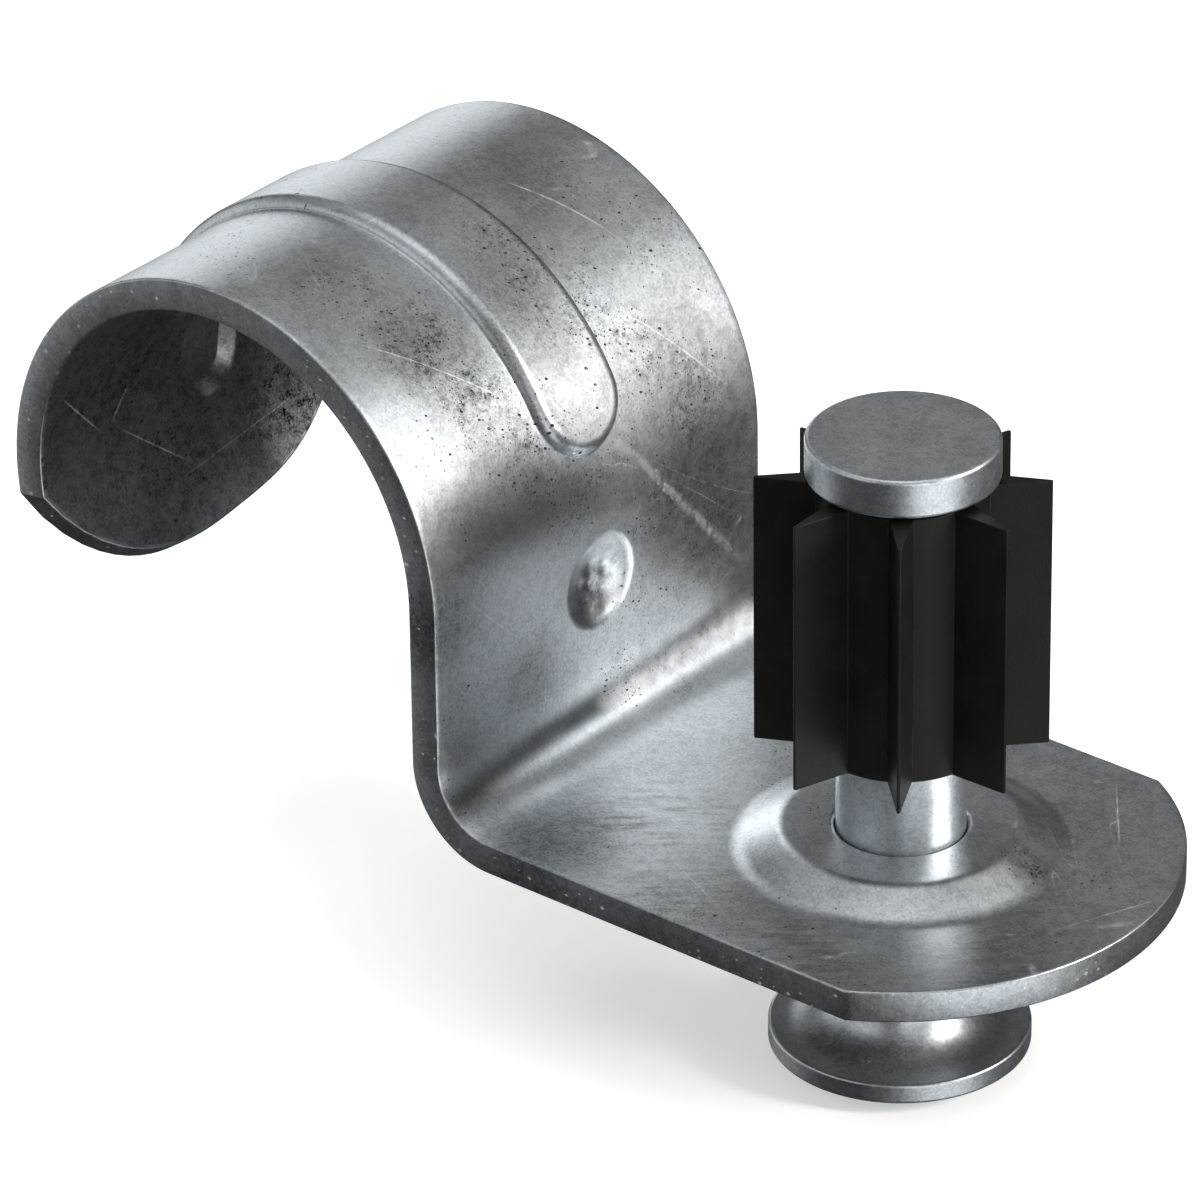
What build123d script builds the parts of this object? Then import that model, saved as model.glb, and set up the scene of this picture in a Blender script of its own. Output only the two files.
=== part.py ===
from build123d import *
from build123d.topology import SkipClean
from math import atan2, cos, degrees, hypot, radians, sin, sqrt
import os

# Conduit clip: one folded steel strap with a captive drive pin in its tab.
# The origin is on the conduit's axis at the middle of the strap's width.
# +X runs from the conduit to the pin, +Y along the conduit, +Z away from the wall.

# Strap: a bent sheet, with a hook round the conduit, a leg, a bend and a tab
conduit_d = 20.0
conduit_gap = 0.2
sheet_t = 1.4
strap_w = 21.4
axis_height = 11.0
bend_r = 2.6
free_end_deg = 180.8
free_end_rise = 6.3
free_end_fullness = 3.0
free_end_skew = 2.8
edge_bevel = 0.1

# Rib pressed outwards over the hook, and the narrower recess behind it
rib_w = 5.1
rib_h = 0.5
rib_round = 0.28
rib_foot_bevel = 0.2
rib_start_deg = 29.0
rib_end_deg = 175.5
recess_w = 3.4
recess_depth = 0.5
recess_bevel = 0.35

# Dimple pressed through the leg towards the conduit, where the sheet is stretched thinner
dimple_r = 2.05
dimple_depth = 0.55
dimple_wall = 1.28
dimple_drop = 2.7
dimple_lip_round = 0.3

# Tab's rounded end, and the plateau pressed up round the pin's hole
pin_offset = 27.5
tab_end_r = 12.2
tab_end_shift = 0.5
plateau_top_r = 4.95
plateau_foot_r = 6.95
plateau_h = 1.0
pocket_top_r = 4.4
pocket_mouth_r = 6.1
hole_bevel = 0.15

# Drive pin
head_d = 8.0
head_t = 1.7
head_bevel = 0.15
shank_d = 4.0
pin_length = 27.25
head_gap = 0.25
point_length = 6.0
point_flat_r = 0.15

# Fluted plastic sleeve under the head
sleeve_lift = 6.3
sleeve_length = 12.15
core_d = 7.1
fin_count = 8
fin_tip_d = 12.1
fin_root_w = 1.0
fin_edge_w = 0.12
fin_turn_deg = -8.7

# Flanged steel collar on the shank, through the hole
tube_d = 5.4
flange_d = 11.0
flange_t = 0.9
flange_drop = 7.9
trumpet_r = 2.1
flange_bevel = 0.1

# Fits
running_gap = 0.05
press = 0.01

# Sizes that follow from the ones above
hook_r = conduit_d / 2 + conduit_gap
outer_r = hook_r + sheet_t
half_w = strap_w / 2
wall_z = -axis_height
tab_top_z = wall_z + sheet_t
plateau_z = tab_top_z + plateau_h
sleeve_foot_z = wall_z + sleeve_lift
sleeve_top_z = sleeve_foot_z + sleeve_length
head_seat_z = sleeve_top_z + head_gap
flange_foot_z = wall_z - flange_drop
hole_r = tube_d / 2 + running_gap
bore_r = shank_d / 2 - press
cutter_margin = 1.0
snap = 0.01


def s_curve(start, end):
    # two equal tangent arcs, level at both ends, from an upper point outwards and down
    run, fall = end[0] - start[0], start[1] - end[1]
    turn = 2 * atan2(fall, run)
    radius = run / 2 / sin(turn)
    upper = JernArc(start, (1, 0), radius, -degrees(turn))
    lower = JernArc(upper @ 1, upper % 1, radius, degrees(turn))
    return upper + lower


def tab_and_leg():
    # middle line of the sheet from the tab through the bend and up the leg, made full width
    middle_r = hook_r + sheet_t / 2
    bend_middle_r = bend_r + sheet_t / 2
    tab_z = wall_z + sheet_t / 2
    bend_x, bend_z = middle_r + bend_middle_r, tab_z + bend_middle_r
    tab_reach = pin_offset + tab_end_r
    tab = Line((tab_reach, tab_z), (bend_x, tab_z))
    bend = CenterArc((bend_x, bend_z), bend_middle_r, 270, -90)
    leg = Line((middle_r, bend_z), (middle_r, 0))
    section = Plane.XZ * trace(Curve() + [tab, bend, leg], line_width=sheet_t)
    return Pos(0, half_w, 0) * extrude(section, amount=strap_w)


def hook_half(side):
    # half of the hook, so that the conduit bears on a face of its own at each side of the recess
    middle_r = hook_r + sheet_t / 2
    overrun = degrees((free_end_rise + free_end_skew + cutter_margin) / middle_r)
    hook = CenterArc((0, 0), middle_r, 0, free_end_deg + overrun)
    section = Plane.XZ * trace(Curve() + [hook], line_width=sheet_t)
    return extrude(section, amount=side * half_w)


def bent_sheet():
    return tab_and_leg() + hook_half(-1) + hook_half(1)


def free_end_cut():
    # radial face through the free end: a full round in the flat blank, cut askew, rolled round the hook
    middle_r = hook_r + sheet_t / 2
    reach = 1 + cutter_margin / half_w
    steps = 12
    shares = [reach * (2 * i / steps - 1) for i in range(steps + 1)]

    def edge(radius):
        points = []
        for share in shares:
            along = free_end_rise * (1 - abs(share)**free_end_fullness) - share * free_end_skew / 2
            turn = radians(free_end_deg) + along / middle_r
            points.append((radius * cos(turn), share * half_w, radius * sin(turn)))
        return Spline(points)

    inner = edge(hook_r - cutter_margin)
    outer = edge(outer_r + cutter_margin)
    return Face.make_surface_from_curves(inner.edge(), outer.edge())


def tab_end_cut():
    # what lies beyond the tab's end arc
    centre_x = pin_offset - tab_end_shift
    height = sheet_t + 2 * cutter_margin
    beyond = Pos(centre_x + tab_end_r, 0, wall_z) * Box(2 * tab_end_r, 2 * strap_w, height)
    return beyond - Pos(centre_x, 0, wall_z) * Cylinder(tab_end_r, 2 * height)


def hook_ridge(inner_r, ridge_r, width):
    # band round the hook between two radii, with half-round ends cut radially
    spare = degrees(width / inner_r)
    band = Pos((inner_r + ridge_r) / 2, 0) * Rectangle(ridge_r - inner_r, width)
    span = rib_end_deg - rib_start_deg + 2 * spare
    ridge = Rot(Y=spare - rib_start_deg) * revolve(band, Axis.Y, -span)
    for angle, side in ((rib_start_deg, -1), (rib_end_deg, 1)):
        beyond = Pos(ridge_r, 0, side * width) * Box(ridge_r, 2 * width, 2 * width)
        plug = Pos(ridge_r, 0, 0) * Rot(Y=90, Z=-90 * side) * Cylinder(width / 2, 2 * ridge_r)
        ridge -= Rot(Y=-angle) * (beyond - plug)
    return ridge


def off_middle(edges):
    # edges without those of the seam along the strap's middle
    shares = (0, 0.3, 0.7, 1)
    return [edge for edge in edges if any(abs((edge @ share).Y) > snap for share in shares)]


def at_radius(edges, radius, half_band):
    # edges that lie on a cylinder about the hook's axis, within a band of its width
    def fits(edge):
        points = [edge @ share for share in (0, 0.3, 0.7, 1)]
        near = all(abs(hypot(p.X, p.Z) - radius) < snap for p in points)
        return near and all(abs(p.Y) < half_band + snap for p in points)

    return [edge for edge in off_middle(edges) if fits(edge)]


def rings(edges, radius, middle):
    # round edges of one radius about one middle point
    circles = edges.filter_by(GeomType.CIRCLE)
    return [edge for edge in circles if abs(edge.radius - radius) < snap
            and (edge.arc_center - Vector(middle)).length < snap]


def blank_outline(edges):
    # the sheet's long edges, without those across its thickness or along its folds
    def runs_across(edge):
        return edge.geom_type == GeomType.LINE and abs((edge @ 1 - edge @ 0).Y) > sheet_t

    return [edge for edge in off_middle(edges) if edge.length > 2 * sheet_t and not runs_across(edge)]


def rib():
    ridge = hook_ridge(outer_r - sheet_t / 2, outer_r + rib_h, rib_w)
    return ridge.fillet(rib_round, at_radius(ridge.edges(), outer_r + rib_h, rib_w / 2))


def recess():
    groove = hook_ridge(hook_r - sheet_t / 2, hook_r + recess_depth, recess_w)
    floor = at_radius(groove.edges(), hook_r + recess_depth, recess_w / 2)
    return groove.chamfer(recess_bevel, recess_bevel, floor)


def with_rib(strap):
    strap = strap + rib()
    foot = at_radius(strap.edges(), outer_r, rib_w / 2)
    return strap.chamfer(rib_foot_bevel, rib_foot_bevel, foot) - recess()


def with_dimple(strap):
    # a spherical dish in the leg's outer face, and its bulge about the same centre on the conduit's side
    dish_r = (dimple_r**2 + dimple_depth**2) / (2 * dimple_depth)
    centre = Pos(outer_r + dish_r - dimple_depth, 0, -dimple_drop)
    leg_side = Pos(hook_r, 0, -dimple_drop) * Box(sheet_t, strap_w, strap_w)
    bulge = (centre * Sphere(dish_r + dimple_wall)) & leg_side
    strap = strap + bulge - centre * Sphere(dish_r)
    lip = rings(strap.edges(), dimple_r, (outer_r, 0, -dimple_drop))
    return strap.fillet(dimple_lip_round, lip)


def plateau():
    # raised round the pin's hole, with a rounded crest and foot
    crest = s_curve((plateau_top_r, plateau_z), (plateau_foot_r, tab_top_z))
    middle_z = wall_z + sheet_t / 2
    rest = Polyline(crest @ 1, (plateau_foot_r, middle_z), (0, middle_z), (0, plateau_z), crest @ 0)
    return Pos(pin_offset, 0, 0) * revolve(Plane.XZ * make_face(crest + rest), Axis.Z)


def pocket():
    # hollow behind the plateau, open to the wall
    return Pos(pin_offset, 0, wall_z + plateau_h / 2) * Cone(pocket_mouth_r, pocket_top_r, plateau_h)


def with_pin_hole(strap):
    strap = strap + plateau() - pocket()
    strap = strap - Pos(pin_offset, 0, wall_z) * Cylinder(hole_r, 4 * sheet_t)
    lip = rings(strap.edges(), hole_r, (pin_offset, 0, plateau_z))
    return strap.chamfer(hole_bevel, hole_bevel, lip)


def conduit_strap():
    with SkipClean():
        pieces = bent_sheet().split(free_end_cut(), keep=Keep.ALL)
        strap = max(pieces, key=lambda piece: piece.volume) - tab_end_cut()
        strap = strap.chamfer(edge_bevel, edge_bevel, blank_outline(strap.edges()))
        return with_pin_hole(with_dimple(with_rib(strap)))


def drive_pin():
    head_top_z = head_seat_z + head_t
    tip_z = head_seat_z - pin_length
    taper_z = tip_z + point_length
    r = shank_d / 2
    outline = Polyline((0, head_top_z), (head_d / 2, head_top_z), (head_d / 2, head_seat_z),
                       (r, head_seat_z), (r, taper_z), (point_flat_r, tip_z), (0, tip_z),
                       (0, head_top_z))
    pin = revolve(Plane.XZ * make_face(outline), Axis.Z)
    rim = [edge for z in (head_seat_z, head_top_z) for edge in rings(pin.edges(), head_d / 2, (0, 0, z))]
    return Pos(pin_offset, 0, 0) * pin.chamfer(head_bevel, head_bevel, rim)


def fin_section():
    root_x = sqrt((core_d / 2)**2 - (fin_root_w / 2)**2)
    tip_x = fin_tip_d / 2
    return make_face(Polyline((0, fin_root_w / 2), (root_x, fin_root_w / 2), (tip_x, fin_edge_w / 2),
                              (tip_x, -fin_edge_w / 2), (root_x, -fin_root_w / 2),
                              (0, -fin_root_w / 2), (0, fin_root_w / 2)))


def fluted_sleeve():
    section = Circle(core_d / 2)
    for k in range(fin_count):
        section += Rot(Z=fin_turn_deg + 360 * k / fin_count) * fin_section()
    section -= Circle(bore_r)
    return Pos(pin_offset, 0, sleeve_foot_z) * extrude(section, amount=sleeve_length)


def flanged_collar():
    r, rim_r = tube_d / 2, flange_d / 2
    flange_top_z = flange_foot_z + flange_t
    neck_z = flange_top_z + trumpet_r
    trumpet = JernArc((r, neck_z), (0, -1), trumpet_r, 90)
    outline = Polyline(trumpet @ 1, (rim_r, flange_top_z), (rim_r, flange_foot_z),
                       (bore_r, flange_foot_z), (bore_r, sleeve_foot_z), (r, sleeve_foot_z), trumpet @ 0)
    collar = revolve(Plane.XZ * make_face(trumpet + outline), Axis.Z)
    rim = [edge for z in (flange_foot_z, flange_top_z) for edge in rings(collar.edges(), rim_r, (0, 0, z))]
    return Pos(pin_offset, 0, 0) * collar.chamfer(flange_bevel, flange_bevel, rim)


os.makedirs("parts", exist_ok=True)
export_step(conduit_strap(), "parts/conduit_strap.step")
export_step(drive_pin(), "parts/drive_pin.step")
export_step(fluted_sleeve(), "parts/fluted_sleeve.step")
export_step(flanged_collar(), "parts/flanged_collar.step")
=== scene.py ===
import bmesh
import bpy
import numpy as np
from mathutils import Matrix, Vector


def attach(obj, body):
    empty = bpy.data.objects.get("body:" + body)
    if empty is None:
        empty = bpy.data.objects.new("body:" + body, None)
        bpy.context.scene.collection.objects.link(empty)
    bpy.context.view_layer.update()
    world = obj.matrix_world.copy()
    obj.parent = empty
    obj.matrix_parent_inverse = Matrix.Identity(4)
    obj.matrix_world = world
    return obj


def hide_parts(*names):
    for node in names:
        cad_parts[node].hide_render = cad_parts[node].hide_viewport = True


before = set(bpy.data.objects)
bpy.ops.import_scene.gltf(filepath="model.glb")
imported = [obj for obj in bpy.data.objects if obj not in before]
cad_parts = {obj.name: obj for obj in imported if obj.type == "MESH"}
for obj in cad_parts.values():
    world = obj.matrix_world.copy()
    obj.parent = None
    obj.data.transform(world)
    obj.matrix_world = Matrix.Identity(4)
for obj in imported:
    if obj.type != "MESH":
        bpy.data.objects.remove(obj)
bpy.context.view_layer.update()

mm = 0.001
weldReach = 0.0004 * mm                          # points closer than this become one
far = 99.0                                       # well beyond any profile, to give a direction
print("frame loaded:", ", ".join(sorted(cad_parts)))


# A grid is rows of points in millimetres, with the three values that the finishes read there.
def gridFaces(rows, columns, start, closed):
    row = np.arange(rows - 1)[:, None] * columns + start
    column = np.arange(columns if closed else columns - 1)[None, :]
    left, right = row + column, row + (column + 1) % columns
    return np.stack([left, right, right + columns, left + columns], -1).reshape(-1, 4)


def makePiece(name, grids, body, node, sharpAngle=32):
    points = np.concatenate([g["points"].reshape(-1, 3) for g in grids]) * mm
    marks = np.concatenate([g["marks"].reshape(-1, 3) for g in grids])
    faces, start = [], 0
    for g in grids:
        rows, columns = g["points"].shape[:2]
        faces.append(gridFaces(rows, columns, start, g["closed"]))
        start += rows * columns
    faces = np.concatenate(faces)
    mesh = bpy.data.meshes.new(name)
    mesh.vertices.add(len(points))
    mesh.vertices.foreach_set("co", points.ravel())
    mesh.loops.add(faces.size)
    mesh.loops.foreach_set("vertex_index", faces.ravel())
    mesh.polygons.add(len(faces))
    mesh.polygons.foreach_set("loop_start", np.arange(0, faces.size, 4))
    mesh.attributes.new("marks", "FLOAT_VECTOR", "POINT").data.foreach_set("vector", marks.ravel())
    mesh.update(calc_edges=True)
    shell = bmesh.new()
    shell.from_mesh(mesh)
    bmesh.ops.remove_doubles(shell, verts=shell.verts, dist=weldReach)
    bmesh.ops.recalc_face_normals(shell, faces=shell.faces)
    shell.to_mesh(mesh)
    shell.free()
    mesh.shade_smooth()
    mesh.set_sharp_from_angle(angle=np.radians(sharpAngle))
    piece = bpy.data.objects.new(name, mesh)
    bpy.context.scene.collection.objects.link(piece)
    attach(piece, body)
    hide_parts(node)
    print(f"made {name}: {len(mesh.polygons)} faces")
    return piece


def arc(centre, radius, fromAngle, toAngle, count):
    # points of a circle about the centre, evenly spaced between two angles in degrees
    turn = np.radians(np.linspace(fromAngle, toAngle, count))
    return np.stack([centre[0] + radius * np.cos(turn), centre[1] + radius * np.sin(turn)], -1)


# Millimetres and degrees. A slope's two values move its crest and its foot off the edge they belong to,
# and a pair of rounds is the crest's and the foot's.
strapSizes = {
    "hookR": 10.2, "sheet": 1.4, "width": 21.4, "wallDrop": 11.0, "bendR": 2.6, "edgeRound": 0.085,
    "freeAngle": 180.8, "freeRise": 6.3, "freeFullness": 3.0, "freeSkew": 2.8,
    "ribWidth": 5.1, "ribHeight": 0.5, "ribFrom": 29.0, "ribTo": 175.5,
    "ribSlope": (-0.16, 0.02), "ribRounds": (0.62, 0.1),
    "recessWidth": 3.4, "recessDepth": 0.5, "recessSlope": (-0.5, 0.08), "recessRounds": (0.12, 0.3),
    "dimpleR": 2.05, "dimpleDepth": 0.55, "dimpleDrop": 2.7, "dimpleLip": 0.8,
    "dimpleWall": 1.28, "bulgeLip": 0.16,
    # small dents and bumps in the dimple's floor: along, across, reach and rise
    "beaten": [(-2.55, -0.55, 0.3, 0.06), (-2.8, 0.4, 0.3, 0.045), (-3.2, 1.0, 0.35, 0.04),
               (-4.0, 0.1, 0.3, 0.05), (-3.0, -0.1, 0.24, -0.07), (-3.7, -0.45, 0.4, -0.05),
               (-2.3, 0.9, 0.4, -0.05), (-1.9, -0.1, 0.4, -0.05)],
    "pinX": 27.5, "tabEndR": 12.2, "tabEndShift": 0.5, "holeR": 2.75, "holeLip": 0.2,
    "plateauTop": 4.95, "plateauFoot": 6.95, "plateauRise": 1.0,
    "plateauSlope": (0.1, -0.2), "plateauRounds": (0.85, 1.5),
    "pocketTop": 4.4, "pocketMouth": 6.1, "flatRings": (3.6, 4.3),
    # how far beside the hole's lip, the pocket's top and its mouth a ring keeps the shading flat
    "besideLip": 0.04, "besideTop": 0.05, "besideMouth": 0.06,
}
z = strapSizes
half = z["sheet"] / 2
outerR = z["hookR"] + z["sheet"]
middleR = z["hookR"] + half
bendMiddleR = z["bendR"] + half
bendX, bendZ = middleR + bendMiddleR, -z["wallDrop"] + half + bendMiddleR
legLength, bendLength = -bendZ, bendMiddleR * np.pi / 2
halfWidth = z["width"] / 2


def onStrip(along, across, lift):
    # A point of the folded sheet. along follows the sheet's middle line from where the leg meets the hook:
    # above 0 it turns round the hook by along / middle radius, below 0 it goes down the leg, a quarter
    # turn round the bend and out along the tab. lift stands square to the middle line there.
    hook = along / middleR
    bend = np.pi + np.clip(-along - legLength, 0, bendLength) / bendMiddleR
    tabX = bendX + (-along - legLength - bendLength)
    onHook, onLeg, onTab = along >= 0, along > -legLength, along < -legLength - bendLength
    x = np.where(onHook, (middleR + lift) * np.cos(hook),
                 np.where(onLeg, middleR + lift,
                          np.where(onTab, tabX, bendX + (bendMiddleR - lift) * np.cos(bend))))
    y = across
    up = np.where(onHook, (middleR + lift) * np.sin(hook),
                  np.where(onLeg, along,
                           np.where(onTab, bendZ - bendMiddleR + lift,
                                    bendZ + (bendMiddleR - lift) * np.sin(bend))))
    return np.stack(np.broadcast_arrays(x, y, up), -1)


def stripGrid(along, across, lift, side=0.0, closed=True):
    # side is 0 on the outside of the fold, -1 on its inside and 1 on the cut edge
    along, across, lift = np.broadcast_arrays(along, across, lift)
    marks = np.stack([along, across, np.full(along.shape, side)], -1)
    return {"points": onStrip(along, across, lift), "marks": marks, "closed": closed}


alongOfX = lambda x: -legLength - bendLength - (x - bendX)   # place along the strip of a point of the tab
topSplit, lowSplit, bendSplit = 1.4, -6.2, alongOfX(bendX + 0.5)   # where hook, leg, bend and tab meet
steps = {"side": 98, "cap": 10, "line": 40, "legSide": 14, "bend": 44, "tabSide": 34, "tabEnd": 72}
closing = np.array([0.06, 0.16, 0.3, 0.45, 0.6, 0.75, 0.88, 0.97, 1.0])   # rows from a form to its border
spread = np.linspace(-1, 1, steps["line"] + 1)
spread = 0.6 * spread + 0.4 * spread**3                      # closer together in the middle
ribStart, ribEnd = middleR * np.radians(z["ribFrom"]), middleR * np.radians(z["ribTo"])


def freeEnd(inset, side):
    # the free end of the flat blank is a full round, cut askew; side is the place across, from -1 to 1,
    # and the curve is drawn in by inset square to itself
    share = side * (halfWidth - inset) / halfWidth
    along = (middleR * np.radians(z["freeAngle"]) + z["freeRise"] * (1 - np.abs(share)**z["freeFullness"])
             - share * z["freeSkew"] / 2)
    slope = (z["freeFullness"] * z["freeRise"] * np.sign(share) * np.abs(share)**(z["freeFullness"] - 1)
             + z["freeSkew"] / 2) / halfWidth
    return along - inset * np.sqrt(1 + slope**2), share * halfWidth


def tabEnd(inset, turn):
    # the tab's end is an arc too, and turn runs from -1 to 1 between its corners
    reach = np.arcsin((halfWidth - inset) / (z["tabEndR"] - inset))
    radius = z["tabEndR"] - inset
    x = z["pinX"] - z["tabEndShift"] + radius * np.cos(turn * reach)
    return alongOfX(x), radius * np.sin(turn * reach)


def hookBorder(inset):
    # the hook panel's border, in the order of its rings: flank, free end, flank, line to the leg
    corners = [freeEnd(inset, side)[0] for side in (1.0, -1.0)]
    side = np.linspace(ribStart, ribEnd, steps["side"], endpoint=False)
    freeFlank, farFlank = (np.linspace(ribEnd, corner, steps["cap"], endpoint=False) for corner in corners)
    legFlank = np.linspace(ribStart, topSplit, steps["cap"], endpoint=False)
    endAlong, endAcross = freeEnd(inset, -spread)
    edge = halfWidth - inset
    along = np.concatenate([side, freeFlank, endAlong, farFlank[:0:-1], [ribEnd], side[:0:-1], legFlank,
                            np.full(steps["line"] + 1, topSplit), legFlank[:0:-1]])
    across = np.concatenate([np.full(steps["side"] + steps["cap"], edge), endAcross,
                             np.full(2 * steps["cap"] + steps["side"] - 1, -edge), edge * spread,
                             np.full(steps["cap"] - 1, edge)])
    return along, across


def hookRings(reach, surfaceR):
    # rings at equal distances from the rib's middle line: straight beside it, and half circles of the
    # surface, unrolled by an arcsine, about its two ends
    cap = np.radians(np.linspace(0, 180, 2 * steps["cap"] + steps["line"] + 1))
    side = np.linspace(ribStart, ribEnd, steps["side"], endpoint=False)
    flat = np.zeros(steps["side"])
    base = np.concatenate([side, np.full(len(cap), ribEnd), side[:0:-1], np.full(len(cap) - 1, ribStart)])
    outAlong = np.concatenate([flat, np.sin(cap), flat[1:], -np.sin(cap[:-1])])
    outAcross = np.concatenate([flat + 1, np.cos(cap), flat[1:] - 1, -np.cos(cap[:-1])])
    return base + middleR * np.arcsin(reach[:, None] * outAlong / surfaceR), reach[:, None] * outAcross


def panel(along, across, profile, border, level, side):
    # rings with the profile's rise, then rows that close on the border by the closing shares
    shares = closing[:, None]
    outAlong = along[-1] + shares * (border[0] - along[-1])
    outAcross = across[-1] + shares * (border[1] - across[-1])
    lift = np.concatenate([profile[:, 1], np.full(len(shares), profile[-1, 1])])[:, None] + level
    return stripGrid(np.vstack([along, outAlong]), np.vstack([across, outAcross]), lift, side)


def softCorner(corner, before, after, radius, count=6, beside=0.03):
    # a corner of a profile, replaced by an arc that is tangent to both of its lines, with one more
    # point on each line close beside it, which keeps the round's shading to the round
    corner, before, after = (np.array(p, float) for p in (corner, before, after))
    toBefore = (before - corner) / np.linalg.norm(before - corner)
    toAfter = (after - corner) / np.linalg.norm(after - corner)
    opening = np.arccos(np.clip(toBefore @ toAfter, -1, 1))
    setBack = radius / np.tan(opening / 2)
    between = (toBefore + toAfter) / np.linalg.norm(toBefore + toAfter)
    middle = corner + between * radius / np.sin(opening / 2)
    start, end = corner + toBefore * setBack - middle, corner + toAfter * setBack - middle
    share = np.linspace(0, 1, count)[:, None]
    swing = np.pi - opening
    arcPoints = (np.sin((1 - share) * swing) * start + np.sin(share * swing) * end) / np.sin(swing)
    nearBefore, nearAfter = middle + start + toBefore * beside, middle + end + toAfter * beside
    return np.vstack([nearBefore, middle + arcPoints, nearAfter])


def softSlope(reaches, rise, crest, foot):
    # three points on the level middle, then a straight slope between two reaches down to zero, with
    # its crest and its foot rounded
    top, low = (reaches[0], rise), (reaches[1], 0.0)
    return np.vstack([[(reaches[0] * share, rise) for share in (0.0, 0.35, 0.7)],
                      softCorner(top, (0, rise), low, crest, 9), softCorner(low, top, (far, 0), foot, 8)])


def softStep(fromReach, toReach, rise, count=9):
    # two equal tangent arcs from the upper level out and down to zero
    run = toReach - fromReach
    turn = 2 * np.degrees(np.arctan2(rise, run))
    radius = run / 2 / np.sin(np.radians(turn))
    return np.vstack([arc((fromReach, rise - radius), radius, 90, 90 - turn, count),
                      arc((toReach, radius), radius, 270 - turn, 270, count)[1:]])


def ballProfile(ballR, depth, lip, capPoints=26, lipPoints=7, margin=0.05):
    # a ball's cap below the sheet, rounded into it by a small arc
    rim = np.sqrt(ballR**2 - (ballR - depth)**2)
    lean = np.degrees(np.arcsin(rim / ballR))
    reach = lip * np.tan(np.radians(lean / 2))
    ball = np.radians(np.linspace(0, lean * (1 - reach / rim), capPoints))
    cap = np.stack([ballR * np.sin(ball), ballR - depth - ballR * np.cos(ball)], -1)
    lipArc = arc((rim + reach, -lip), lip, 90 + lean, 90, lipPoints)[1:]
    return np.vstack([cap, lipArc, [(rim + reach + margin, 0)]])


def beaten(marks):
    # every dent is a bell curve of the distance from its own middle
    along, across, reach, rise = np.array(z["beaten"]).T[:, :, None, None]
    return (rise * np.exp(-((marks[..., 0] - along)**2 + (marks[..., 1] - across)**2) / reach**2)).sum(0)


def roundPanel(centre, profile, border, level, side):
    # rings about one point, each point on the straight ray to its border point
    ray = np.arctan2(border[1], border[0] - centre)
    reach = profile[:, :1]
    return panel(centre + reach * np.cos(ray), reach * np.sin(ray), profile, border, level, side)


def legBorder():
    # the leg panel's border is a rectangle of the strap's width, between the hook and the bend
    edge = halfWidth - z["edgeRound"]
    side = np.linspace(topSplit, lowSplit, steps["legSide"] + 1)
    line, flank = np.ones(steps["line"]), np.ones(len(side) - 1)
    along = np.concatenate([topSplit * line, side[:-1], lowSplit * line, side[:0:-1]])
    return along, edge * np.concatenate([spread[:-1], flank, -spread[:-1], -flank])


def tabBorder(inset):
    # the tab panel's border: a line to the bend, a flank, the round end and the other flank
    edge = halfWidth - inset
    endAlong, endAcross = tabEnd(inset, np.linspace(1, -1, steps["tabEnd"] + 1))
    side = np.linspace(bendSplit, endAlong[0], steps["tabSide"] + 1)
    along = np.concatenate([np.full(steps["line"], bendSplit), side[:-1], endAlong, side[-2:0:-1]])
    across = np.concatenate([edge * spread[:-1], np.full(len(side) - 1, edge), endAcross,
                             np.full(len(side) - 2, -edge)])
    return along, across


def outline(inset):
    # the whole blank's outline, drawn in by inset, in one loop
    hookAlong, hookAcross = hookBorder(inset)
    oneSide = steps["side"] + steps["cap"]
    freeLoop = slice(oneSide, oneSide + steps["line"] + 1)
    edge = halfWidth - inset
    legFlank = np.linspace(topSplit, ribStart, steps["cap"], endpoint=False)
    legSide = np.linspace(lowSplit, topSplit, steps["legSide"], endpoint=False)
    bendSleeveShadow = np.linspace(bendSplit, lowSplit, steps["bend"], endpoint=False)
    endAlong, endAcross = tabEnd(inset, np.linspace(-1, 1, steps["tabEnd"] + 1))
    tabSide = np.linspace(bendSplit, endAlong[0], steps["tabSide"] + 1)
    up = np.concatenate([tabSide[-2::-1][:-1], bendSleeveShadow, legSide, legFlank])
    down = hookAlong[freeLoop.stop:freeLoop.stop + oneSide]
    along = np.concatenate([up, hookAlong[:oneSide], hookAlong[freeLoop], down, up[::-1], endAlong])
    across = np.concatenate([np.full(len(up) + oneSide, edge), hookAcross[freeLoop],
                             np.full(len(up) + oneSide, -edge), endAcross])
    return along, across


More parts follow.
